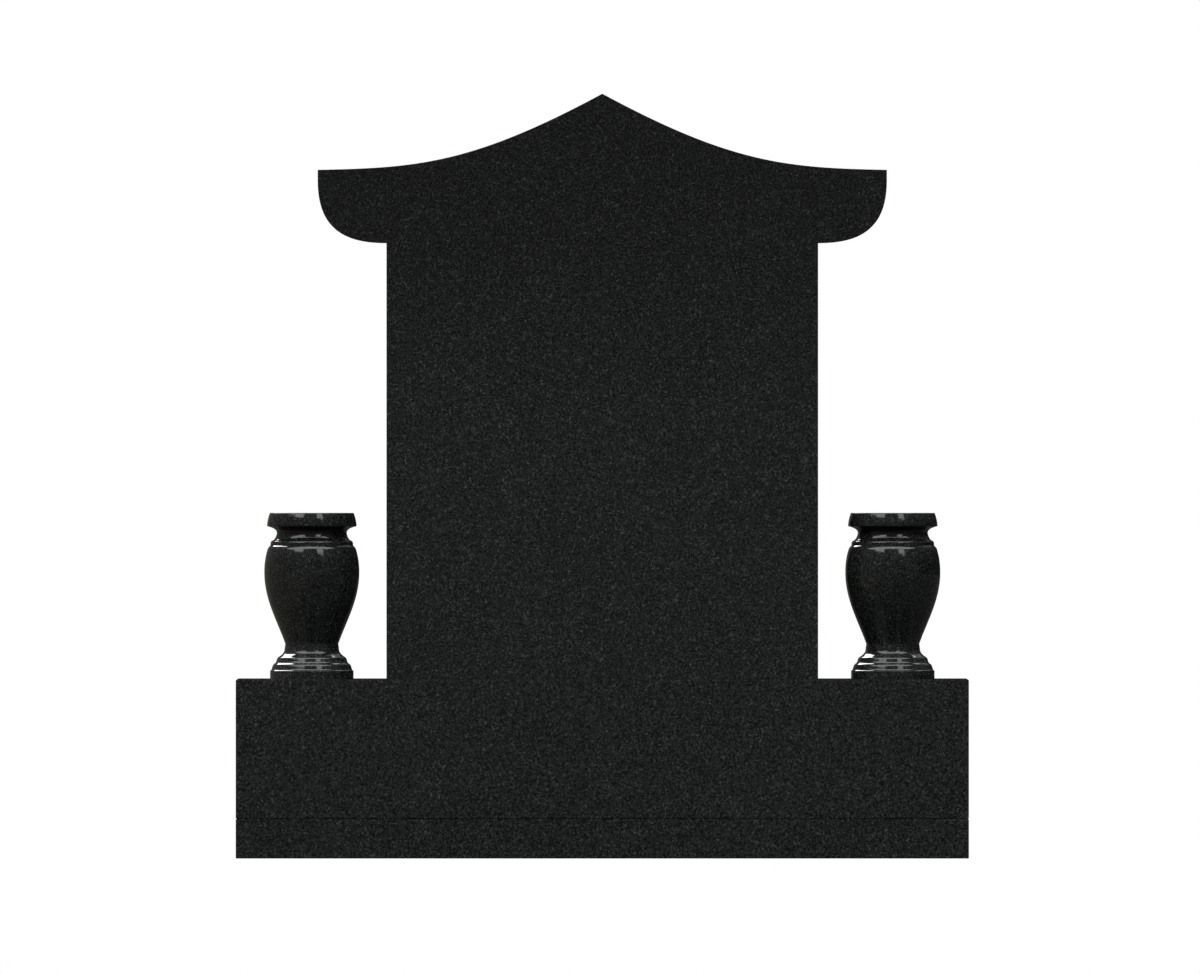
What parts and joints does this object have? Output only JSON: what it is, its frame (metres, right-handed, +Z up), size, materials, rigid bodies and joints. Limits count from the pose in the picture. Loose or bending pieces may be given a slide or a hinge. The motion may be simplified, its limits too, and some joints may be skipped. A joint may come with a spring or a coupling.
{
  "type": "headstone",
  "caption": "Polished black granite headstone: upright tablet with a swept roof-shaped head and drooping eaves on a stepped base, with turned flower vases beside it.",
  "frame": {"origin": "on the ground, under the middle of the footing slab", "axes": "+Z up, the front face towards -Y, +X to the right of someone facing the front"},
  "size_m": [1, 0.3, 1.0444],
  "materials": {
    "footing_granite": "polished black granite, fine grey grain",
    "base_granite": "polished black granite, fine grey grain",
    "tablet_granite": "polished black granite, fine grey grain",
    "vase_granite": "polished black granite, high gloss on the turned mouldings"
  },
  "bodies": {
    "root": {"footing_slab": "footing_granite", "base": "base_granite", "tablet": "tablet_granite", "vase_left": "vase_granite", "vase_right": "vase_granite"}
  },
  "joints": []
}
